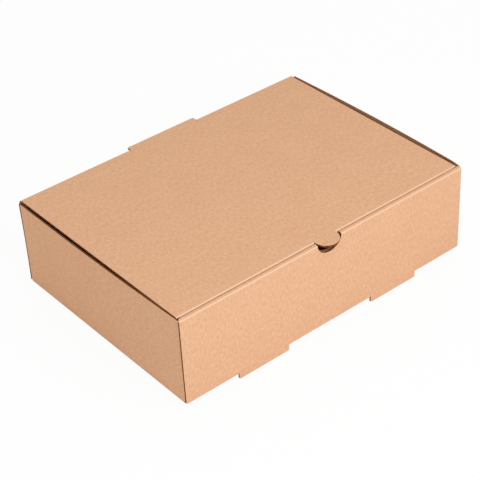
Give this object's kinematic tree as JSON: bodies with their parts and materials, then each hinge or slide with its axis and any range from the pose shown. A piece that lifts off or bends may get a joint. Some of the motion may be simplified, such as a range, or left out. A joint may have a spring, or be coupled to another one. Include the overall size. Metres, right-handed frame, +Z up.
{
  "type": "takeaway food box",
  "caption": "Low rectangular food box folded from one sheet of fine-fluted brown kraft board, with a hinged tuck-in lid, a thumb tab and a roll-over front wall.",
  "frame": {"origin": "middle of the floor's underside", "axes": "+X along the length, +Y from the front wall to the hinge, +Z up"},
  "size_m": [0.26, 0.1937, 0.0757],
  "materials": {
    "kraft_board": "matt unbleached kraft liner"
  },
  "bodies": {
    "tray": {"tray": "kraft_board"},
    "lid": {"lid": "kraft_board"}
  },
  "joints": [
    {"name": "lid_hinge", "type": "hinge", "parent": "tray", "child": "lid", "pos_m": [0, 0.0914, 0.0704], "axis": [-1, 0, 0], "range_deg": [0, 180]}
  ]
}
